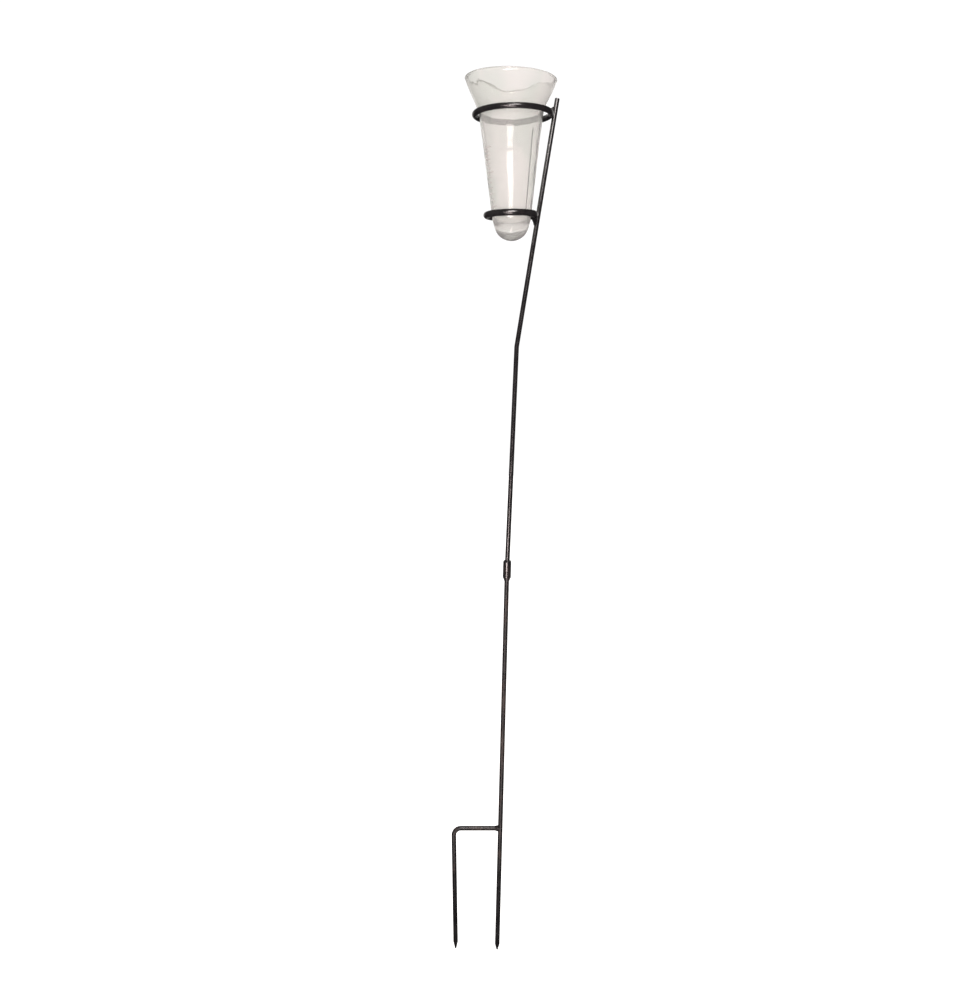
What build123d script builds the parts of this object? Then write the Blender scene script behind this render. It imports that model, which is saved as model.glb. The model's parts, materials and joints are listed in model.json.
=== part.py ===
"""Glass rain gauge held by two wire rings on a bent rod, plugged into a forked ground stake.

Frame: +Z runs up the lower rod, +X towards the rod side of the rings, the glass stands on the -Y side.
The origin is on the axis of the main ground point, level with the underside of the fork's crossbar.
All sizes are in millimetres.
"""
import os
from collections import namedtuple
from math import asin, cos, pi, radians, sin, tan

from build123d import *

os.makedirs("parts", exist_ok=True)

# A wire ring: its radius, its wire's radius, its height, how far its +X side is rolled up and its -Y side dips
Ring = namedtuple("Ring", "radius wire_r z roll dip")

# Rod stock
ROD_R = 3.2

# Lower rod: straight, with a ground point at its bottom end
POINT_TIP_Z = -169.0
POINT_LENGTH = 8.0
POINT_TIP_R = 0.8
LOWER_ROD_TOP_Z = 357.0

# Side prong: an L of the same rod, hanging slightly inwards
CROSSBAR_Z_AT_ROD = 3.1
CROSSBAR_DROOP = 1.45
PRONG_CORNER_X = -64.3
PRONG_CORNER_R = 9.6
PRONG_TOE_IN = 2.25
SIDE_TIP_Z = -168.8
SIDE_POINT_LENGTH = 10.0
PRONG_WELD_R = 5.1
PRONG_WELD_LENGTH = 3.6

# Coupling sleeve between the two rods
SLEEVE_BOTTOM_Z = 352.0
SLEEVE_TOP_Z = 375.6
SLEEVE_R = 5.5
SLEEVE_BORE_R = 3.45
SLEEVE_LIP_HEIGHT = 2.4
SLEEVE_LIP_INSET = 0.5
SLEEVE_LEAD_IN = 0.6
SLEEVE_WELD_HEIGHT = 4.8
SLEEVE_WELD_R = 5.15

# Upper rod: leans a little in the loose sleeve, then kinks outwards beside the rings
END_GAP = 0.4
SLEEVE_MID_Z = 366.5
LOWER_LEAN = 0.98
UPPER_LEAN = 7.84
KINK_Z = 665.4
KINK_R = 14.0
UPPER_ROD_TOP_Z = 995.2
ROD_END_CHAMFER = 0.5

# Rings: closed circles of round wire, tangent to the rod on its near side
GAUGE_Y = -15.5
WELD_GAP = 0.06
UPPER_RING = Ring(radius=50.2, wire_r=4.0, z=969.35, roll=2.0, dip=0.0)
LOWER_RING = Ring(radius=32.1, wire_r=4.4, z=838.15, roll=2.4, dip=2.0)
RING_WELD_R = 4.5
WEB_HEIGHT = 12.4
WEB_WIDTH = 4.6
WEB_REACH = 5.8
WEB_TOE = 0.15
WEB_LOW = (0.9, 10.3)
WEB_HIGH = (2.3, 7.6)

# Glass: outer half profile, heights from the bottom of the glass
GLASS_HEIGHT = 211.8
MOUTH_R = 60.9
BULB_LOW = (18.75, 9.3)
BULB_HIGH = (24.2, 23.5)
CONE_FOOT = (25.8, 29.8)
CONE_HEAD = (37.2, 125.8)
NECK_LOW = (40.8, 152.3)
NECK_HIGH = (42.1, 162.3)
FLARE_LOW = (48.5, 181.8)
FLARE_HIGH = (56.2, 198.3)
GLASS_WALL = 3.0
BASE_THICKNESS = 16.5
RIM_ROUND = 1.35
GLASS_LEAN = 1.75
GLASS_FOOT_X = -5.6
GLASS_FOOT_Z = 804.1

# Rain scale: each mark adds the same depth of rain over the mouth
FIRST_MARK_RAIN = 3.1
RAIN_STEP = 1.5
MAJOR_EVERY = 6
MARK_COUNT = 13
MARK_THICKNESS = 0.12
MARK_WIDTH = 0.9
SCALE_START_ANGLE = 194.0
MAJOR_SWEEP = 30.0
MINOR_SWEEP = 22.0

CONE_SLOPE = (CONE_HEAD[0] - CONE_FOOT[0]) / (CONE_HEAD[1] - CONE_FOOT[1])


def rod_x(z):
    """X of the upper rod's axis above the kink."""
    kink_x = (KINK_Z - SLEEVE_MID_Z) * tan(radians(LOWER_LEAN))
    return kink_x + (z - KINK_Z) * tan(radians(UPPER_LEAN))


def ring_to_rod(ring):
    """Distance from a ring's centre to the axis of the leaning rod that it is welded to."""
    return ring.radius + ring.wire_r + WELD_GAP + ROD_R / cos(radians(UPPER_LEAN))


def ring_azimuth(ring):
    """Angle, seen from above, from the ring's centre to its contact with the rod."""
    return asin(-GAUGE_Y / ring_to_rod(ring))


def ring_place(ring):
    """Where a ring lies: its outer edge meets the rod, and its plane is rolled and dipped."""
    turn = ring_azimuth(ring)
    rise = ring.radius * (sin(radians(ring.roll)) * cos(turn) + sin(radians(ring.dip)) * sin(turn))
    centre_x = rod_x(ring.z + rise) - ring_to_rod(ring) * cos(turn)
    return Pos(centre_x, GAUGE_Y, ring.z) * Rot(ring.dip, -ring.roll, 0)


def ring_contact(ring):
    """Point where the ring's outer edge meets the rod."""
    turn = ring_azimuth(ring)
    reach = ring.radius + ring.wire_r
    return (ring_place(ring) * Pos(reach * cos(turn), reach * sin(turn), 0)).position


def pointed_rod(top_z, tip_z, point_length):
    """Round rod along Z with a conical ground point at the bottom."""
    profile = Polyline(
        (0, top_z),
        (ROD_R, top_z),
        (ROD_R, tip_z + point_length),
        (POINT_TIP_R, tip_z),
        (0, tip_z),
        (0, top_z),
    )
    return revolve(Plane.XZ * make_face(profile), Axis.Z)


def lower_rod():
    """Straight stake with the main ground point."""
    rod = pointed_rod(LOWER_ROD_TOP_Z, POINT_TIP_Z, POINT_LENGTH)
    top_edge = rod.edges().group_by(Axis.Z)[-1]
    return chamfer(top_edge, ROD_END_CHAMFER)


def prong_path():
    """Centre line of the side prong from the main rod to where its point starts."""
    slope = tan(radians(CROSSBAR_DROOP))
    toe = tan(radians(PRONG_TOE_IN))
    start = (0, 0, CROSSBAR_Z_AT_ROD)
    corner_z = CROSSBAR_Z_AT_ROD + PRONG_CORNER_X * slope
    foot_z = SIDE_TIP_Z + SIDE_POINT_LENGTH
    foot = (PRONG_CORNER_X + (corner_z - foot_z) * toe, 0, foot_z)
    return FilletPolyline(start, (PRONG_CORNER_X, 0, corner_z), foot, radius=PRONG_CORNER_R)


def side_prong():
    """L-shaped second ground point, its crossbar coped to fit the main rod."""
    path = prong_path()
    bar = sweep(Plane(origin=path @ 0, z_dir=path % 0) * Circle(ROD_R), path)
    point = Plane(origin=path @ 1, z_dir=path % 1) * Cone(
        ROD_R, POINT_TIP_R, SIDE_POINT_LENGTH, align=(Align.CENTER, Align.CENTER, Align.MIN)
    )
    coped = (bar + point) - Cylinder(ROD_R, 60)
    return coped.solids().sort_by(SortBy.VOLUME)[-1]


def side_prong_weld():
    """Fillet bead around the end of the crossbar, against the main rod."""
    path = prong_path()
    root = Plane(origin=path @ 0, z_dir=path % 0)
    upward = (Align.CENTER, Align.CENTER, Align.MIN)
    bead = root * Cone(PRONG_WELD_R, ROD_R + 0.2, ROD_R + PRONG_WELD_LENGTH, align=upward)
    bar = root * Cylinder(ROD_R, 30, align=upward)
    near_side = Pos(-26, 0, 0) * Box(50, 50, 50)
    return (bead & near_side) - bar - Cylinder(ROD_R, 60)


def coupling_sleeve():
    """Short tube, closed over the lower rod and open upwards for the upper rod."""
    outer = Polyline(
        (ROD_R, SLEEVE_BOTTOM_Z),
        (SLEEVE_R, SLEEVE_BOTTOM_Z),
        (SLEEVE_R, SLEEVE_TOP_Z - SLEEVE_LIP_HEIGHT),
        (SLEEVE_R - SLEEVE_LIP_INSET, SLEEVE_TOP_Z),
        (SLEEVE_BORE_R + SLEEVE_LEAD_IN, SLEEVE_TOP_Z),
        (SLEEVE_BORE_R, SLEEVE_TOP_Z - SLEEVE_LEAD_IN),
        (SLEEVE_BORE_R, LOWER_ROD_TOP_Z),
        (ROD_R, LOWER_ROD_TOP_Z),
        (ROD_R, SLEEVE_BOTTOM_Z),
    )
    return revolve(Plane.XZ * make_face(outer), Axis.Z)


def sleeve_weld():
    """Tapered weld collar between the sleeve's lower end and the lower rod."""
    foot_z = SLEEVE_BOTTOM_Z - SLEEVE_WELD_HEIGHT
    waist = (ROD_R + 0.9, foot_z + 0.45 * SLEEVE_WELD_HEIGHT)
    inner = Line((ROD_R, foot_z), (ROD_R, SLEEVE_BOTTOM_Z))
    top = Line((ROD_R, SLEEVE_BOTTOM_Z), (SLEEVE_WELD_R, SLEEVE_BOTTOM_Z))
    flank = Spline((SLEEVE_WELD_R, SLEEVE_BOTTOM_Z), waist, (ROD_R + 0.15, foot_z))
    close = Line((ROD_R + 0.15, foot_z), (ROD_R, foot_z))
    return revolve(Plane.XZ * make_face([inner, top, flank, close]), Axis.Z)


def upper_rod_path():
    """Centre line of the upper rod, from inside the sleeve to its free top end."""
    bottom_z = LOWER_ROD_TOP_Z + END_GAP
    bottom_x = (bottom_z - SLEEVE_MID_Z) * tan(radians(LOWER_LEAN))
    return FilletPolyline(
        (bottom_x, 0, bottom_z),
        (rod_x(KINK_Z), 0, KINK_Z),
        (rod_x(UPPER_ROD_TOP_Z), 0, UPPER_ROD_TOP_Z),
        radius=KINK_R,
    )


def upper_rod():
    """Bent rod that carries both rings."""
    path = upper_rod_path()
    rod = sweep(Plane(origin=path @ 0, z_dir=path % 0) * Circle(ROD_R), path)
    ends = rod.edges().filter_by(GeomType.CIRCLE)
    low_end = ends.sort_by(Axis.Z)[0]
    high_end = ends.sort_by(Axis.Z)[-1]
    return chamfer([low_end, high_end], ROD_END_CHAMFER)


def wire_ring(ring):
    """Closed wire ring that touches the rod."""
    return ring_place(ring) * Torus(ring.radius, ring.wire_r)


def upper_ring_weld():
    """Weld bead that wraps the contact between upper ring and rod."""
    bead = Pos(ring_contact(UPPER_RING)) * Sphere(RING_WELD_R)
    return bead - wire_ring(UPPER_RING) - upper_rod()


def lower_ring_weld():
    """Weld web that fills the corner under the lower ring and runs down the rod."""
    turn = ring_azimuth(LOWER_RING)
    outward = Vector(cos(turn), sin(turn), 0)
    plane = Plane(
        origin=ring_contact(LOWER_RING), x_dir=outward, z_dir=outward.cross(Vector(0, 0, 1))
    )
    lean = tan(radians(UPPER_LEAN)) * cos(turn)
    foot = -WEB_HEIGHT * lean
    top = Line((-WEB_REACH, 0), (ROD_R, 0))
    back = Line((ROD_R, 0), (ROD_R + foot, -WEB_HEIGHT))
    toe = Line((ROD_R + foot, -WEB_HEIGHT), (foot - WEB_TOE, -WEB_HEIGHT))
    hollow = Spline(
        (foot - WEB_TOE, -WEB_HEIGHT),
        (-WEB_LOW[0] - WEB_LOW[1] * lean, -WEB_LOW[1]),
        (-WEB_HIGH[0] - WEB_HIGH[1] * lean, -WEB_HIGH[1]),
        (-WEB_REACH, -LOWER_RING.wire_r),
    )
    inner = Line((-WEB_REACH, -LOWER_RING.wire_r), (-WEB_REACH, 0))
    web = extrude(plane * make_face([top, back, toe, hollow, inner]), WEB_WIDTH / 2, both=True)
    web = web - wire_ring(LOWER_RING) - upper_rod()
    return web.solids().sort_by(SortBy.VOLUME)[-1]


def outer_profile():
    """Outer half profile of the glass from the bottom centre to the mouth."""
    bulb = Spline((0, 0), BULB_LOW, BULB_HIGH, CONE_FOOT, tangents=[(1, 0), (CONE_SLOPE, 1)])
    cone = Line(CONE_FOOT, CONE_HEAD)
    flare = Spline(
        CONE_HEAD,
        NECK_LOW,
        NECK_HIGH,
        FLARE_LOW,
        FLARE_HIGH,
        (MOUTH_R, GLASS_HEIGHT),
        tangents=[(CONE_SLOPE, 1), (0.25, 1)],
    )
    return [bulb, cone, flare]


def cavity_foot():
    """Radius and height where the cavity's round bottom meets its cone."""
    return (CONE_FOOT[0] - GLASS_WALL + 5 * CONE_SLOPE, CONE_FOOT[1] + 5)


def inner_profile():
    """Inner half profile of the glass from the cavity's bottom to the mouth."""
    foot = cavity_foot()
    floor = Spline(
        (0, BASE_THICKNESS),
        (0.68 * foot[0], BASE_THICKNESS + 4.6),
        foot,
        tangents=[(1, 0), (CONE_SLOPE, 1)],
    )
    cone = Line(foot, (CONE_HEAD[0] - GLASS_WALL, CONE_HEAD[1]))
    flare = Spline(
        (CONE_HEAD[0] - GLASS_WALL, CONE_HEAD[1]),
        (NECK_LOW[0] - GLASS_WALL, NECK_LOW[1]),
        (NECK_HIGH[0] - GLASS_WALL, NECK_HIGH[1]),
        (FLARE_LOW[0] - GLASS_WALL, FLARE_LOW[1]),
        (FLARE_HIGH[0] - GLASS_WALL, FLARE_HIGH[1]),
        (MOUTH_R - GLASS_WALL, GLASS_HEIGHT),
        tangents=[(CONE_SLOPE, 1), (0.25, 1)],
    )
    return [floor, cone, flare]


def glass_place():
    """Where the glass stands in the rings, leaning back from the rod."""
    return Pos(GLASS_FOOT_X, GAUGE_Y, GLASS_FOOT_Z) * Rot(0, -GLASS_LEAN, 0)


def upright_glass():
    """Measuring glass with its axis on Z."""
    rim = Line((MOUTH_R, GLASS_HEIGHT), (MOUTH_R - GLASS_WALL, GLASS_HEIGHT))
    core = Line((0, BASE_THICKNESS), (0, 0))
    section = make_face(outer_profile() + [rim] + inner_profile() + [core])
    body = revolve(Plane.XZ * section, Axis.Z)
    rim_edges = body.edges().group_by(Axis.Z)[-1]
    return fillet(rim_edges, RIM_ROUND)


def mark_height(rain):
    """Height on the glass where this depth of rain over the mouth reaches."""
    mouth_area = pi * (MOUTH_R - GLASS_WALL / 2) ** 2
    foot = cavity_foot()
    floor_volume = 0.62 * pi * foot[0] ** 2 * (foot[1] - BASE_THICKNESS)
    above = rain * mouth_area - floor_volume
    radius = (foot[0] ** 3 + 3 * CONE_SLOPE * above / pi) ** (1 / 3)
    return foot[1] + (radius - foot[0]) / CONE_SLOPE


def mark(height, sweep_angle):
    """One enamel stroke on the outside of the glass, following its cone."""
    low_r = CONE_FOOT[0] + (height - MARK_WIDTH / 2 - CONE_FOOT[1]) * CONE_SLOPE
    high_r = CONE_FOOT[0] + (height + MARK_WIDTH / 2 - CONE_FOOT[1]) * CONE_SLOPE
    outline = Polyline(
        (low_r, height - MARK_WIDTH / 2),
        (low_r + MARK_THICKNESS, height - MARK_WIDTH / 2),
        (high_r + MARK_THICKNESS, height + MARK_WIDTH / 2),
        (high_r, height + MARK_WIDTH / 2),
        (low_r, height - MARK_WIDTH / 2),
    )
    stroke = revolve(Plane.XZ * make_face(outline), Axis.Z, sweep_angle)
    return Rot(0, 0, SCALE_START_ANGLE) * stroke


def scale_marks(major):
    """All long or all short strokes of the scale, as separate solids."""
    strokes = []
    for index in range(MARK_COUNT):
        if (index % MAJOR_EVERY == 0) != major:
            continue
        height = mark_height(FIRST_MARK_RAIN + index * RAIN_STEP)
        strokes.append(mark(height, MAJOR_SWEEP if major else MINOR_SWEEP))
    return Compound(children=strokes)


def save(node, shape):
    """Write one sub-part."""
    export_step(shape, f"parts/{node}.step")


save("lower_rod", lower_rod())
save("side_prong", side_prong())
save("side_prong_weld", side_prong_weld())
save("coupling_sleeve", coupling_sleeve())
save("sleeve_weld", sleeve_weld())
save("upper_rod", upper_rod())
save("upper_ring", wire_ring(UPPER_RING))
save("lower_ring", wire_ring(LOWER_RING))
save("upper_ring_weld", upper_ring_weld())
save("lower_ring_weld", lower_ring_weld())
save("gauge_glass", glass_place() * upright_glass())
save("scale_major_marks", glass_place() * scale_marks(True))
save("scale_minor_marks", glass_place() * scale_marks(False))
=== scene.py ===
import json
import math

import bpy
import numpy as np
from mathutils import Matrix, Vector, noise


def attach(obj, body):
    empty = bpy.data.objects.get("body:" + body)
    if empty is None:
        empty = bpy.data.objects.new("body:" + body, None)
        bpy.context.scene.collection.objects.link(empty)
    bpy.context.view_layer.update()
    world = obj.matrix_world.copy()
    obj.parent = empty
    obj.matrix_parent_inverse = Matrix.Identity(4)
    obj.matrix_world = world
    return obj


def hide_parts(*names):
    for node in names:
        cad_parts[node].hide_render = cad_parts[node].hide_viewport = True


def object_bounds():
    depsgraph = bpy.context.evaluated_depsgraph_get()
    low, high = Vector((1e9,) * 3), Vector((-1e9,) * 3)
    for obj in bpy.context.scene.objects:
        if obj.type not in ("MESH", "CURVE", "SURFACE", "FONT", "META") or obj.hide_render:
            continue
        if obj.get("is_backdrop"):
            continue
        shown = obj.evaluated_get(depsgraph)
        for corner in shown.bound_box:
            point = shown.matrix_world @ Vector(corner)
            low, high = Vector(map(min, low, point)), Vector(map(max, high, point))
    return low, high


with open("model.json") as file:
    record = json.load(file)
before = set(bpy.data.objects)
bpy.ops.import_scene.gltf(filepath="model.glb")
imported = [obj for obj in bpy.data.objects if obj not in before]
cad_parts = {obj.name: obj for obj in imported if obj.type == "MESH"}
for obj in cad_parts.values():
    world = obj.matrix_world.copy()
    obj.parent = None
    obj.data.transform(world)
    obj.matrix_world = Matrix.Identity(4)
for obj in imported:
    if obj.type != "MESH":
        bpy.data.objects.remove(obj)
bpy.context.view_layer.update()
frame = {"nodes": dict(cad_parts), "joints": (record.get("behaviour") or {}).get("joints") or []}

# Looks for a clear glass rain gauge on a forked steel stake. Lengths are in metres unless stated.
MM = 0.001

# Camera: far enough back to hold the whole stake, a little left of it and below the glass
CAMERA_PLACE = Vector((-0.03035, -1.72208, 0.57262))
CAMERA_PITCH = math.radians(-3.829)
CAMERA_ROLL = math.radians(1.43)
CAMERA_LENS = 45.72
CAMERA_SENSOR = 36.0

# Glass outline in millimetres, upright, with the bottom of the glass at height 0
GLASS_HEIGHT = 211.8
MOUTH_R = 60.9
BULB_LOW = (18.75, 9.3)
BULB_HIGH = (24.2, 23.5)
CONE_FOOT = (25.8, 29.8)
CONE_HEAD = (37.2, 125.8)
NECK_LOW = (40.8, 152.3)
NECK_HIGH = (42.1, 162.3)
FLARE_LOW = (48.5, 181.8)
FLARE_HIGH = (56.2, 198.3)
GLASS_WALL = 3.0
BASE_THICKNESS = 16.5
RIM_ROUND = 1.9
CONE_SLOPE = (CONE_HEAD[0] - CONE_FOOT[0]) / (CONE_HEAD[1] - CONE_FOOT[1])
LIP_SLOPE = 0.25
# The cavity's bowl: how much higher its cone starts than the outside's, and a point of its curve, as a
# part of the radius there and a height above its centre
BOWL_RISE = 5
BOWL_EDGE = (0.68, 4.6)
# How finely the glass is drawn: bowls, cones and flares along the outline, its rim, and round its axis
BOWL_STEP = 1.2
CONE_STEP = 2.0
OUTER_FLARE_STEP = 1.5
INNER_FLARE_STEP = 0.9
RIM_POINTS = 17
GLASS_SIDES = 192

# How the glass departs from its plain turned shape, in millimetres unless stated. A band is a pair of
# height ranges above the glass's foot: the first fades in, the second fades out.
WALL_RIPPLE = 0.30
FLARE_RIPPLE = 0.45
FLARE_RIPPLE_BAND = ((150, 175), (203, 210))
# Ripples: how closely they follow round the glass, the height of each, and where their noise starts. They
# die out nearer the axis than RIPPLE_FREE.
LONG_RIPPLE = (1.6, 26, 0)
SHORT_RIPPLE = (3.6, 15, 9)
RIPPLE_FREE = 12
# Thick places on the flare's near side: where round the glass, how thick, and how wide
FLARE_SWELLS = ((math.radians(220), 2.9, math.radians(29)), (math.radians(320), 2.5, math.radians(29)))
FLARE_SWELL_BAND = ((160, 186), (188, 208))
SEAM_TURN = math.radians(321)
SEAM_WIDTH = 0.05
SEAM_DEPTH = 0.8
SEAM_BAND = ((32, 40), (135, 150))
RIM_TILT = math.radians(2.0)
RIM_TILT_FROM = 170.0
# Heights over which the rim's painted shade sets in and the bottom's haze ends, and the Y range of the far
# half where the rim's shade is painted
RIM_SHADE_HEIGHTS = (209.6, 210.6)
BOTTOM_HAZE_HEIGHTS = (24, 36)
RIM_SHADE_DEPTHS = (0.0, 12.0)

# Upper ring weld: its middle and half sizes in millimetres, the rod's lean there, and its unevenness
UPPER_BEAD_CENTRE = (44.4, -0.8, 976.4)
UPPER_BEAD_REACH = (4.0, 4.4, 7.0)
UPPER_BEAD_LEAN = math.radians(9.6)
BEAD_LUMPS = 0.16
BEAD_RIPPLES = 0.03
BEAD_RIPPLE_RATE = 14
BEAD_LUMP_RATE = 1.7
BEAD_LUMP_SHIFT = Vector((5, 2, 8))
BEAD_ROWS = 20
BEAD_SIDES = 32

# Black paint: its two tones, the brown where it is worn, the heights between which it is handled, how much
# more it is worn there, how much duller worn paint is, and how deep its drawn lines are beside its peel
PAINT_DARK = (0.008, 0.0075, 0.0085)
PAINT_LIGHT = (0.017, 0.0155, 0.0165)
PAINT_WORN = (0.05, 0.032, 0.027)
HANDLED_BOTTOM = (-0.12, 0.02)
HANDLED_TOP = (0.3, 0.5)
HANDLED_BIAS = 0.11
WORN_DULLING = 0.18
DRAWN_LINES = 1.6

# Glass: its warm and greenish casts, the shade painted on its far rim, how hazy it is, and its wave; then
# its enamel
GLASS_WARM = (0.985, 0.968, 0.957)
GLASS_GREEN = (0.915, 0.93, 0.905)
GLASS_RIM_SHADE = (0.42, 0.40, 0.38)
GLASS_IOR = 1.5
GLASS_CLEARNESS = 0.86
GLASS_HAZE = (0.015, 0.06)
BOTTOM_HAZE = 0.16
GLASS_WAVE = 0.6 * MM
ENAMEL_DARK = (0.34, 0.29, 0.28)
ENAMEL_LIGHT = (0.52, 0.46, 0.45)
ENAMEL_GRAIN = 0.04 * MM

# Studio: the backdrop, sides, ceiling and table that glass and matt surfaces see
BACKDROP_COLOUR = (0.80, 0.775, 0.75)
SIDES_COLOUR = (0.82, 0.80, 0.775)
CEILING_COLOUR = (0.66, 0.645, 0.62)
TABLE_COLOUR = (0.66, 0.645, 0.61)
# What glossy surfaces mirror: a dark room, a little lighter on the left, and pale far behind
MIRRORED_LEFT = (0.06, 0.056, 0.057)
MIRRORED_RIGHT = (0.012, 0.011, 0.012)
MIRRORED_BACKDROP = (0.72, 0.70, 0.68)
# Directions, as parts of a unit vector, over which one part of the room gives way to the next
BACKDROP_FROM = (0.1, 0.8)
CEILING_FROM = (0.45, 0.8)
MIRRORED_RIGHT_FROM = (-0.7, 0.3)
MIRRORED_BACKDROP_FROM = (0.7, 0.92)
FLOOR_DARK = (0.86, 0.86, 0.86)
FLOOR_LIGHT = (0.89, 0.89, 0.89)
FLOOR_HALF_WIDTH = 14.0
# How strongly the floor glows for other rays and for the camera, and how bright the background is
FLOOR_GLOW = (0.1, 0.8)
BACKGROUND_STRENGTH = 1.05

# Soft lights: name, place, target, width, height, watts and colour. The two floor glows face upwards.
FLOOR_GLOW_LEVEL = -0.165
KEY_TINT = (1.0, 0.93, 0.91)
GLOW_TINT = (1.0, 0.86, 0.84)
SOFT_LIGHTS = (
    ("key_softbox", (0.16, -2.6, 1.95), (0, 0, 0.95), 1.35, 0.95, 50, KEY_TINT),
    ("far_floor_glow", (-0.9, -4.7, FLOOR_GLOW_LEVEL), (-0.9, -4.7, 1), 2.3, 3.0, 350, GLOW_TINT),
    ("near_floor_glow", (-0.06, -0.84, FLOOR_GLOW_LEVEL), (-0.06, -0.84, 1), 0.4, 0.92, 3.8, GLOW_TINT),
)


# ---------------------------------------------------------------- materials

def new_material(name):
    """Empty node material with its Principled shader."""
    material = bpy.data.materials.new(name)
    material.use_nodes = True
    shader = material.node_tree.nodes["Principled BSDF"]
    return material, material.node_tree, shader


def add_noise(tree, scale, detail, roughness, stretch=(1, 1, 1), shift=(0, 0, 0)):
    """Noise texture over the object's own coordinates."""
    coords = tree.nodes.new("ShaderNodeTexCoord")
    mapping = tree.nodes.new("ShaderNodeMapping")
    mapping.inputs["Scale"].default_value = stretch
    mapping.inputs["Location"].default_value = shift
    texture = tree.nodes.new("ShaderNodeTexNoise")
    texture.inputs["Scale"].default_value = scale
    texture.inputs["Detail"].default_value = detail
    texture.inputs["Roughness"].default_value = roughness
    tree.links.new(coords.outputs["Object"], mapping.inputs["Vector"])
    tree.links.new(mapping.outputs["Vector"], texture.inputs["Vector"])
    return texture.outputs["Fac"]


def remap(tree, value, low, high, to_low, to_high):
    """Value carried from one range to another, clamped."""
    node = tree.nodes.new("ShaderNodeMapRange")
    node.inputs["From Min"].default_value = low
    node.inputs["From Max"].default_value = high
    node.inputs["To Min"].default_value = to_low
    node.inputs["To Max"].default_value = to_high
    tree.links.new(value, node.inputs["Value"])
    return node.outputs["Result"]


def arithmetic(tree, operation, first, second):
    """Math node of two sockets or numbers."""
    node = tree.nodes.new("ShaderNodeMath")
    node.operation = operation
    for socket, value in zip(node.inputs, (first, second)):
        if isinstance(value, (int, float)):
            socket.default_value = value
        else:
            tree.links.new(value, socket)
    return node.outputs["Value"]


def blend_colour(tree, factor, first, second):
    """Mix of two colours, each a tuple or a socket."""
    node = tree.nodes.new("ShaderNodeMix")
    node.data_type = "RGBA"
    tree.links.new(factor, node.inputs["Factor"])
    sockets = [s for s in node.inputs if s.type == "RGBA"]
    for socket, value in zip(sockets, (first, second)):
        if isinstance(value, tuple):
            socket.default_value = (*value, 1)
        else:
            tree.links.new(value, socket)
    return [s for s in node.outputs if s.type == "RGBA"][0]


def position(tree, axis):
    """One of the object's own coordinates, which are the frame's for every piece here."""
    coords = tree.nodes.new("ShaderNodeTexCoord")
    split = tree.nodes.new("ShaderNodeSeparateXYZ")
    tree.links.new(coords.outputs["Object"], split.inputs["Vector"])
    return split.outputs[axis]


def height_above(tree, low, high):
    """0 below one height, 1 above another, and evenly between."""
    return remap(tree, position(tree, "Z"), low, high, 0.0, 1.0)


def mirror_rays(tree):
    """1 for what a glossy surface mirrors, 0 for the camera, matt surfaces and what glass lets through."""
    path = tree.nodes.new("ShaderNodeLightPath")
    return arithmetic(tree, "MULTIPLY", path.outputs["Is Glossy Ray"], path.outputs["Is Reflection Ray"])


def mix_shaders(tree, factor, first, second):
    """Shader socket that goes from one shader socket to another."""
    mix = tree.nodes.new("ShaderNodeMixShader")
    for socket, value in zip(mix.inputs, (factor, first, second)):
        tree.links.new(value, socket)
    return mix.outputs[0]


def add_bump(tree, shader, height, distance, below=None):
    """Bump from a height socket, over an optional earlier bump."""
    bump = tree.nodes.new("ShaderNodeBump")
    bump.inputs["Strength"].default_value = 1.0
    bump.inputs["Distance"].default_value = distance
    tree.links.new(height, bump.inputs["Height"])
    if below is not None:
        tree.links.new(below, bump.inputs["Normal"])
    tree.links.new(bump.outputs["Normal"], shader.inputs["Normal"])
    return bump.outputs["Normal"]


def black_paint(name, peel, wear, gloss_range, ior):
    """Black paint over drawn steel: orange peel, uneven gloss, and brown wear where it is handled."""
    material, tree, shader = new_material(name)
    patches = remap(tree, add_noise(tree, scale=38, detail=3, roughness=0.55), 0.35, 0.7, 0, 1)
    tone = blend_colour(tree, patches, PAINT_DARK, PAINT_LIGHT)
    flecks = add_noise(tree, scale=420, detail=5, roughness=0.65, stretch=(1, 1, 0.35), shift=(3, 1, 7))
    blotches = add_noise(tree, scale=70, detail=2, roughness=0.5, stretch=(1, 1, 0.5), shift=(8, 2, 4))
    handled = arithmetic(
        tree, "SUBTRACT", height_above(tree, *HANDLED_BOTTOM), height_above(tree, *HANDLED_TOP)
    )
    bias = arithmetic(tree, "MULTIPLY", handled, HANDLED_BIAS)
    worn = arithmetic(tree, "ADD", arithmetic(tree, "MULTIPLY", flecks, blotches), bias)
    worn = remap(tree, worn, 0.34, 0.44, 0.0, wear)
    tree.links.new(blend_colour(tree, worn, tone, PAINT_WORN), shader.inputs["Base Color"])
    gloss = add_noise(tree, scale=160, detail=4, roughness=0.6, stretch=(1, 1, 0.4), shift=(1, 5, 2))
    dulling = arithmetic(tree, "MULTIPLY", worn, WORN_DULLING)
    rough = arithmetic(tree, "ADD", remap(tree, gloss, 0.35, 0.65, *gloss_range), dulling)
    tree.links.new(rough, shader.inputs["Roughness"])
    shader.inputs["IOR"].default_value = ior
    orange_peel = add_bump(tree, shader, add_noise(tree, scale=900, detail=3, roughness=0.5), peel)
    drawn = add_noise(tree, scale=240, detail=2, roughness=0.5, stretch=(1, 1, 0.12), shift=(5, 5, 5))
    add_bump(tree, shader, drawn, peel * DRAWN_LINES, below=orange_peel)
    return material


def along_glass(tree, place, heights, start, end):
    """Value that goes from start to end between two heights above the glass's foot, along its axis."""
    coords = tree.nodes.new("ShaderNodeTexCoord")
    along = tree.nodes.new("ShaderNodeVectorMath")
    along.operation = "DOT_PRODUCT"
    up = place.to_3x3().col[2]
    tree.links.new(coords.outputs["Object"], along.inputs[0])
    along.inputs[1].default_value = up
    foot = place.translation.dot(up)
    low, high = (foot + height * MM for height in heights)
    return remap(tree, along.outputs["Value"], low, high, start, end)


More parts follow.
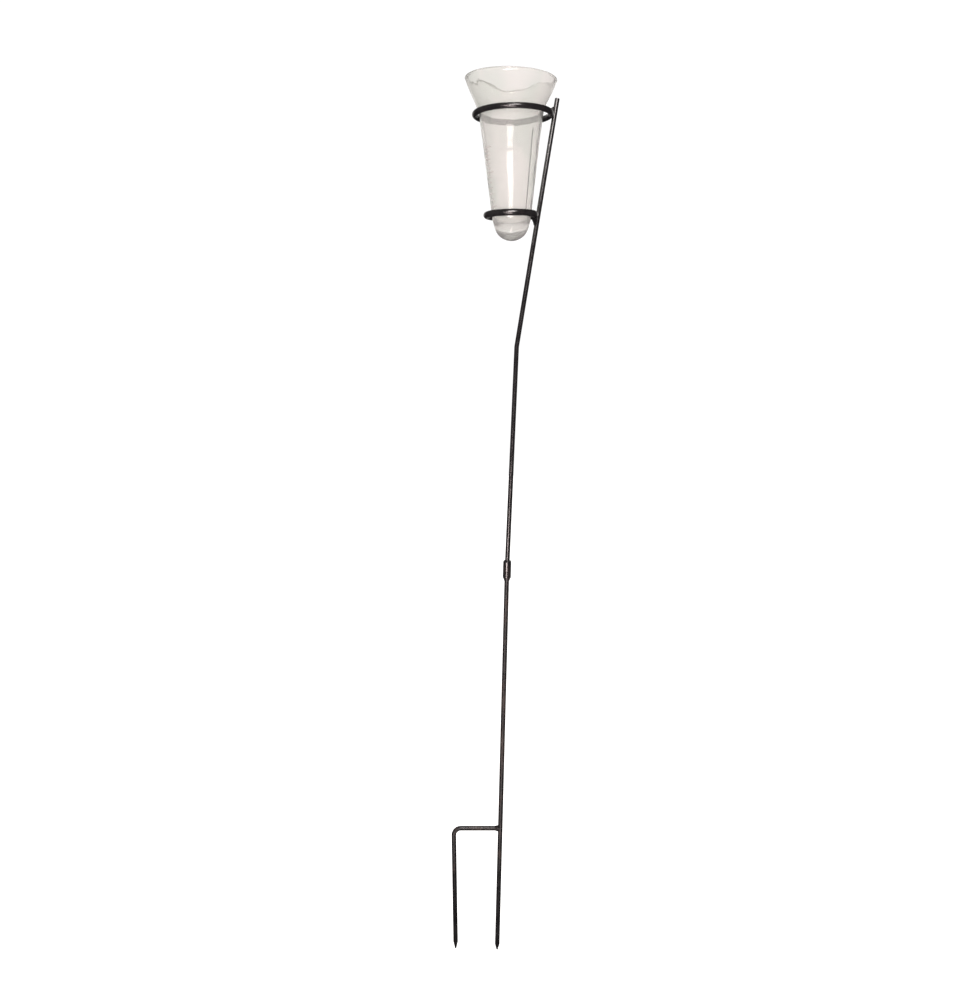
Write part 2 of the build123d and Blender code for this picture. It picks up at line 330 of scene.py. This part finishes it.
def painted_rim_shade(tree, place):
    """1 on the far half of the glass's rim, where shade is painted as a darker tint, broken up by noise,
    and 0 elsewhere.
    """
    rim = along_glass(tree, place, RIM_SHADE_HEIGHTS, 0, 1)
    near, far = (depth * MM for depth in RIM_SHADE_DEPTHS)
    far_half = remap(tree, position(tree, "Y"), near, far, 0, 1)
    knots = add_noise(tree, scale=75, detail=3, roughness=0.6, shift=(6, 1, 4))
    knots = remap(tree, knots, 0.35, 0.6, 0.35, 1.0)
    return arithmetic(tree, "MULTIPLY", arithmetic(tree, "MULTIPLY", rim, far_half), knots)


def clear_glass(place):
    """Pressed soda glass: faint warm and green casts, painted shade on the far rim, and haze, most at the
    bottom.
    """
    material, tree, shader = new_material("clear_glass_wall")
    cast = add_noise(tree, scale=30, detail=2, roughness=0.5, stretch=(1, 1, 0.45))
    cast = remap(tree, cast, 0.44, 0.6, 0, 1)
    tint = blend_colour(tree, cast, GLASS_WARM, GLASS_GREEN)
    # Painted shade: the far half of the rim is tinted darker to stand in for its shading
    tint = blend_colour(tree, painted_rim_shade(tree, place), tint, GLASS_RIM_SHADE)
    tree.links.new(tint, shader.inputs["Base Color"])
    haze = add_noise(tree, scale=55, detail=4, roughness=0.55, shift=(4, 9, 1))
    haze = remap(tree, haze, 0.35, 0.7, *GLASS_HAZE)
    rough = arithmetic(tree, "ADD", haze, along_glass(tree, place, BOTTOM_HAZE_HEIGHTS, BOTTOM_HAZE, 0))
    tree.links.new(rough, shader.inputs["Roughness"])
    shader.inputs["IOR"].default_value = GLASS_IOR
    shader.inputs["Transmission Weight"].default_value = GLASS_CLEARNESS
    wave = add_noise(tree, scale=60, detail=2, roughness=0.4, stretch=(1, 1, 0.5), shift=(2, 2, 2))
    add_bump(tree, shader, wave, GLASS_WAVE)
    return material


def scale_enamel():
    """Thin fired grey enamel, rubbed away in places."""
    material, tree, shader = new_material("scale_enamel_worn")
    rubbed = add_noise(tree, scale=700, detail=3, roughness=0.6)
    tone = blend_colour(tree, remap(tree, rubbed, 0.42, 0.62, 0, 1), ENAMEL_DARK, ENAMEL_LIGHT)
    tree.links.new(tone, shader.inputs["Base Color"])
    tree.links.new(remap(tree, rubbed, 0.3, 0.7, 0.35, 0.6), shader.inputs["Roughness"])
    add_bump(tree, shader, rubbed, ENAMEL_GRAIN)
    return material


def pale_floor():
    """Matt white floor that glows a little, most for the camera, to meet the white background."""
    material, tree, shader = new_material("studio_white")
    grain = add_noise(tree, scale=6, detail=2, roughness=0.5)
    tree.links.new(blend_colour(tree, grain, FLOOR_DARK, FLOOR_LIGHT), shader.inputs["Base Color"])
    shader.inputs["Roughness"].default_value = 0.9
    shader.inputs["Emission Color"].default_value = (1, 1, 1, 1)
    path = tree.nodes.new("ShaderNodeLightPath")
    glow = remap(tree, path.outputs["Is Camera Ray"], 0, 1, *FLOOR_GLOW)
    tree.links.new(glow, shader.inputs["Emission Strength"])
    shown = shader.outputs[0]
    for rays, colour in (
        (path.outputs["Is Transmission Ray"], TABLE_COLOUR), (mirror_rays(tree), MIRRORED_RIGHT)
    ):
        plain = tree.nodes.new("ShaderNodeEmission")
        plain.inputs["Color"].default_value = (*colour, 1)
        shown = mix_shaders(tree, rays, shown, plain.outputs[0])
    tree.links.new(shown, tree.nodes["Material Output"].inputs["Surface"])
    return material


def dress(name, material):
    """Gives a CAD node its material."""
    node = frame["nodes"][name]
    node.data.materials.clear()
    node.data.materials.append(material)


# ---------------------------------------------------------------- mesh helpers

def mesh_piece(name, vertices, faces, material):
    """Smooth mesh object of the given vertices and faces."""
    mesh = bpy.data.meshes.new(name)
    mesh.from_pydata([tuple(v) for v in vertices], [], faces)
    mesh.validate()
    mesh.materials.append(material)
    for polygon in mesh.polygons:
        polygon.use_smooth = True
    piece = bpy.data.objects.new(name, mesh)
    bpy.context.scene.collection.objects.link(piece)
    return piece


def clamped_spline(points, start_slope, end_slope, step):
    """Smooth cubic curve through 2-D points, with given end directions, sampled about every step."""
    knots = np.array(points, float)
    chords = np.linalg.norm(np.diff(knots, axis=0), axis=1)
    param = np.concatenate([[0], np.cumsum(chords)])
    count = len(knots)
    system = np.zeros((count, count))
    right = np.zeros((count, 2))
    system[0, 0] = system[-1, -1] = 1
    right[0] = np.array(start_slope) / np.linalg.norm(start_slope)
    right[-1] = np.array(end_slope) / np.linalg.norm(end_slope)
    for i in range(1, count - 1):
        before, after = chords[i - 1], chords[i]
        system[i, i - 1] = after
        system[i, i] = 2 * (before + after)
        system[i, i + 1] = before
        right[i] = 3 * (
            after * (knots[i] - knots[i - 1]) / before + before * (knots[i + 1] - knots[i]) / after
        )
    slopes = np.linalg.solve(system, right)
    samples = []
    for i, chord in enumerate(chords):
        pieces = max(2, round(chord / step))
        for k in range(pieces):
            t = k / pieces
            h00, h10 = 2 * t**3 - 3 * t**2 + 1, t**3 - 2 * t**2 + t
            h01, h11 = -2 * t**3 + 3 * t**2, t**3 - t**2
            samples.append(
                h00 * knots[i] + h10 * chord * slopes[i] + h01 * knots[i + 1] + h11 * chord * slopes[i + 1]
            )
    samples.append(knots[-1])
    return [tuple(p) for p in samples]


def straight(first, last, step):
    """Points along a straight 2-D line, both ends included."""
    a, b = np.array(first, float), np.array(last, float)
    count = max(1, round(float(np.linalg.norm(b - a)) / step))
    return [tuple(a + (b - a) * i / count) for i in range(count + 1)]


# ---------------------------------------------------------------- glass

def outer_outline():
    """Outer half profile from the bottom centre up to the mouth, in millimetres."""
    bulb = clamped_spline([(0, 0), BULB_LOW, BULB_HIGH, CONE_FOOT], (1, 0), (CONE_SLOPE, 1), BOWL_STEP)
    cone = straight(CONE_FOOT, CONE_HEAD, CONE_STEP)
    flare = clamped_spline(
        [CONE_HEAD, NECK_LOW, NECK_HIGH, FLARE_LOW, FLARE_HIGH, (MOUTH_R, GLASS_HEIGHT)],
        (CONE_SLOPE, 1), (LIP_SLOPE, 1), OUTER_FLARE_STEP,
    )
    return bulb[:-1] + cone[:-1] + flare


def inner_outline():
    """Inner half profile from the cavity's bottom up to the mouth, in millimetres."""
    foot = (CONE_FOOT[0] - GLASS_WALL + BOWL_RISE * CONE_SLOPE, CONE_FOOT[1] + BOWL_RISE)
    edge = (BOWL_EDGE[0] * foot[0], BASE_THICKNESS + BOWL_EDGE[1])
    bowl = clamped_spline([(0, BASE_THICKNESS), edge, foot], (1, 0), (CONE_SLOPE, 1), BOWL_STEP)
    head = (CONE_HEAD[0] - GLASS_WALL, CONE_HEAD[1])
    cone = straight(foot, head, CONE_STEP)
    thinner = [(r - GLASS_WALL, z) for r, z in (NECK_LOW, NECK_HIGH, FLARE_LOW, FLARE_HIGH)]
    flare = clamped_spline(
        [head] + thinner + [(MOUTH_R - GLASS_WALL, GLASS_HEIGHT)],
        (CONE_SLOPE, 1), (LIP_SLOPE, 1), INNER_FLARE_STEP,
    )
    return bowl[:-1] + cone[:-1] + flare


def rounded_rim(outer, inner):
    """Joins both outlines over a fire-polished rim bead, from the bottom centre to the cavity's centre."""
    top = GLASS_HEIGHT
    outer = [p for p in outer if p[1] < top - RIM_ROUND]
    inner = [p for p in inner if p[1] < top - RIM_ROUND]
    middle = MOUTH_R - RIM_ROUND
    arc = [
        (middle + RIM_ROUND * math.cos(a), top - RIM_ROUND + RIM_ROUND * math.sin(a))
        for a in np.linspace(0, math.pi, RIM_POINTS)
    ]
    return outer + arc + inner[::-1]


def glass_place():
    """Frame of the upright glass in the rings, from the CAD glass and the axis it is lifted along."""
    lift = next(j for j in frame["joints"] if j["name"] == "gauge_lift")
    up = Vector(lift["axis"]).normalized()
    forward = Vector((0, 1, 0))
    side = forward.cross(up).normalized()
    points = [v.co for v in frame["nodes"]["gauge_glass"].data.vertices]
    across = [p.dot(side) for p in points]
    deep = [p.dot(forward) for p in points]
    along = [p.dot(up) for p in points]
    foot = (
        side * (min(across) + max(across)) / 2
        + forward * (min(deep) + max(deep)) / 2
        + up * min(along)
    )
    turn = Matrix((side, forward, up)).transposed()
    return Matrix.Translation(foot) @ turn.to_4x4()


def smooth_step(low, high, value):
    """0 below one value, 1 above another, and an even S between them."""
    t = min(1.0, max(0.0, (value - low) / (high - low)))
    return t * t * (3 - 2 * t)


def within(band, height):
    """1 inside a band of heights, fading to 0 over the height range at each of its ends."""
    fade_in, fade_out = band
    return smooth_step(*fade_in, height) * (1 - smooth_step(*fade_out, height))


def ripple(turn, height, rate, wave_height, start):
    """Smooth noise over the round wall, between about -1 and 1."""
    return noise.noise(Vector((math.cos(turn) * rate, math.sin(turn) * rate, height / wave_height + start)))


def inner_ripple(turn, radius, height):
    """How far the inner wall stands outwards, in millimetres, from its waves, swells and seam."""
    fade = min(1.0, radius / RIPPLE_FREE)
    waves = WALL_RIPPLE * ripple(turn, height, *LONG_RIPPLE)
    waves += FLARE_RIPPLE * within(FLARE_RIPPLE_BAND, height) * ripple(turn, height, *SHORT_RIPPLE)
    swell = within(FLARE_SWELL_BAND, height)
    for centre, thickness, width in FLARE_SWELLS:
        apart = (turn - centre + math.pi) % (2 * math.pi) - math.pi
        waves -= thickness * swell * math.exp(-((apart / width) ** 2))
    seam = math.exp(-(((turn - SEAM_TURN) / SEAM_WIDTH) ** 2))
    waves -= SEAM_DEPTH * within(SEAM_BAND, height) * seam
    return fade * waves


def measuring_glass(material):
    """The glass as one turned skin, its inner wall uneven as blown glass is."""
    outline = rounded_rim(outer_outline(), inner_outline())
    place = glass_place()
    rim_index = max(range(len(outline)), key=lambda i: outline[i][1])
    vertices, faces, rings = [], [], []
    for index, (radius, height) in enumerate(outline):
        if radius < 1e-6:
            rings.append([len(vertices)])
            vertices.append(place @ Vector((0, 0, height * MM)))
            continue
        tilt = RIM_TILT * smooth_step(RIM_TILT_FROM, GLASS_HEIGHT, height)
        ring = []
        for side in range(GLASS_SIDES):
            turn = 2 * math.pi * side / GLASS_SIDES
            reach = radius
            if index > rim_index:
                reach += inner_ripple(turn, radius, height)
            lift = -math.tan(tilt) * radius * math.cos(turn)
            ring.append(len(vertices))
            spot = Vector((reach * math.cos(turn), reach * math.sin(turn), height + lift))
            vertices.append(place @ (spot * MM))
        rings.append(ring)
    for low, high in zip(rings, rings[1:]):
        for side in range(GLASS_SIDES):
            following = (side + 1) % GLASS_SIDES
            if len(low) == 1:
                faces.append((low[0], high[following], high[side]))
            elif len(high) == 1:
                faces.append((low[side], low[following], high[0]))
            else:
                faces.append((low[side], low[following], high[following], high[side]))
    piece = mesh_piece("measuring_glass", vertices, faces, material)
    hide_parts("gauge_glass")
    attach(piece, "gauge")


# ---------------------------------------------------------------- weld

def weld_bead(name, cad_name, body, centre, reach, lean, material):
    """Lumpy weld puddle in place of a plain CAD weld; centre and reach in millimetres, leaning in X."""
    rows, sides = BEAD_ROWS, BEAD_SIDES
    place = Matrix.Translation(Vector(centre) * MM) @ Matrix.Rotation(lean, 4, "Y")
    vertices = [place @ Vector((0, 0, -reach[2] * MM))]
    for row in range(1, rows):
        tip = math.pi * row / rows
        for side in range(sides):
            turn = 2 * math.pi * side / sides
            way = Vector((math.sin(tip) * math.cos(turn), math.sin(tip) * math.sin(turn), -math.cos(tip)))
            lump = 1 + BEAD_LUMPS * noise.noise(way * BEAD_LUMP_RATE + BEAD_LUMP_SHIFT)
            lump += BEAD_RIPPLES * math.sin(way.z * BEAD_RIPPLE_RATE + way.x * 2)
            vertices.append(place @ Vector([w * r * lump * MM for w, r in zip(way, reach)]))
    vertices.append(place @ Vector((0, 0, reach[2] * MM)))
    faces = []
    for side in range(sides):
        following = (side + 1) % sides
        faces.append((0, 1 + following, 1 + side))
        for row in range(rows - 2):
            low = 1 + row * sides
            high = low + sides
            faces.append((low + side, low + following, high + following, high + side))
        last = 1 + (rows - 2) * sides
        faces.append((last + side, last + following, len(vertices) - 1))
    bead = mesh_piece(name, vertices, faces, material)
    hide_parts(cad_name)
    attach(bead, body)


# ---------------------------------------------------------------- studio

def studio_floor():
    """Wide pale floor at the level of the ground points."""
    half = FLOOR_HALF_WIDTH
    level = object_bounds()[0].z
    corners = [(-half, -half, level), (half, -half, level), (half, half, level), (-half, half, level)]
    floor = mesh_piece("studio_floor", corners, [(0, 1, 2, 3)], pale_floor())
    floor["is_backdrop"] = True


def soft_light(name, place, target, width, height, power, colour):
    """Rectangular soft light that faces a point and that the camera doesn't see."""
    data = bpy.data.lights.new(name, "AREA")
    data.shape = "RECTANGLE"
    data.size = width
    data.size_y = height
    data.energy = power
    data.color = colour
    light = bpy.data.objects.new(name, data)
    light.location = place
    light.rotation_euler = (Vector(target) - Vector(place)).to_track_quat("-Z", "Y").to_euler()
    light.visible_camera = False
    bpy.context.scene.collection.objects.link(light)


def background(tree, colour, strength):
    """World background of a tuple's or a socket's colour."""
    node = tree.nodes.new("ShaderNodeBackground")
    if isinstance(colour, tuple):
        node.inputs["Color"].default_value = (*colour, 1)
    else:
        tree.links.new(colour, node.inputs["Color"])
    node.inputs["Strength"].default_value = strength
    return node.outputs[0]


def studio_world():
    """White behind the object, a warm grey room that glass bends, and a dark one that gloss mirrors."""
    world = bpy.data.worlds.new("studio")
    bpy.context.scene.world = world
    world.use_nodes = True
    tree = world.node_tree
    tree.nodes.clear()
    coords = tree.nodes.new("ShaderNodeTexCoord")
    split = tree.nodes.new("ShaderNodeSeparateXYZ")
    tree.links.new(coords.outputs["Generated"], split.inputs["Vector"])
    behind = remap(tree, split.outputs["Y"], *BACKDROP_FROM, 0, 1)
    overhead = remap(tree, split.outputs["Z"], *CEILING_FROM, 0, 1)
    walls = blend_colour(tree, behind, SIDES_COLOUR, BACKDROP_COLOUR)
    room = background(tree, blend_colour(tree, overhead, walls, CEILING_COLOUR), 1.0)
    rightward = remap(tree, split.outputs["X"], *MIRRORED_RIGHT_FROM, 0, 1)
    far_back = remap(tree, split.outputs["Y"], *MIRRORED_BACKDROP_FROM, 0, 1)
    sideways = blend_colour(tree, rightward, MIRRORED_LEFT, MIRRORED_RIGHT)
    mirrored = background(tree, blend_colour(tree, far_back, sideways, MIRRORED_BACKDROP), 1.0)
    seen = background(tree, (1, 1, 1), BACKGROUND_STRENGTH)
    path = tree.nodes.new("ShaderNodeLightPath")
    unseen = mix_shaders(tree, mirror_rays(tree), room, mirrored)
    shown = mix_shaders(tree, path.outputs["Is Camera Ray"], unseen, seen)
    output = tree.nodes.new("ShaderNodeOutputWorld")
    tree.links.new(shown, output.inputs["Surface"])


def studio_camera():
    """Camera lower than the glass, looking slightly down and slightly rolled."""
    data = bpy.data.cameras.new("camera")
    data.sensor_width = CAMERA_SENSOR
    data.lens = CAMERA_LENS
    camera = bpy.data.objects.new("camera", data)
    turn = Matrix.Rotation(math.pi / 2 + CAMERA_PITCH, 4, "X") @ Matrix.Rotation(CAMERA_ROLL, 4, "Z")
    camera.matrix_world = Matrix.Translation(CAMERA_PLACE) @ turn
    bpy.context.scene.collection.objects.link(camera)
    bpy.context.scene.camera = camera


# ---------------------------------------------------------------- assembly

# Each paint's name, orange peel height, wear, range of roughness and index of refraction
satin_paint = black_paint("satin_black_paint", 0.034 * MM, 0.3, (0.12, 0.24), 1.85)
scuffed_paint = black_paint("scuffed_black_paint", 0.045 * MM, 0.8, (0.18, 0.42), 1.6)
weld_paint = black_paint("painted_weld_bead", 0.08 * MM, 0.4, (0.2, 0.36), 1.7)
enamel = scale_enamel()

finishes = {
    satin_paint: ("coupling_sleeve", "upper_rod", "upper_ring", "lower_ring"),
    scuffed_paint: ("lower_rod", "side_prong"),
    weld_paint: ("sleeve_weld", "side_prong_weld", "lower_ring_weld"),
    enamel: ("scale_major_marks", "scale_minor_marks"),
}
for finish, node_names in finishes.items():
    for node_name in node_names:
        dress(node_name, finish)
measuring_glass(clear_glass(glass_place()))
weld_bead(
    "upper_ring_bead", "upper_ring_weld", "upper_section",
    UPPER_BEAD_CENTRE, UPPER_BEAD_REACH, UPPER_BEAD_LEAN, weld_paint,
)

studio_floor()
studio_world()
studio_camera()
for soft_light_facts in SOFT_LIGHTS:
    soft_light(*soft_light_facts)
bpy.context.scene.view_settings.view_transform = "Standard"
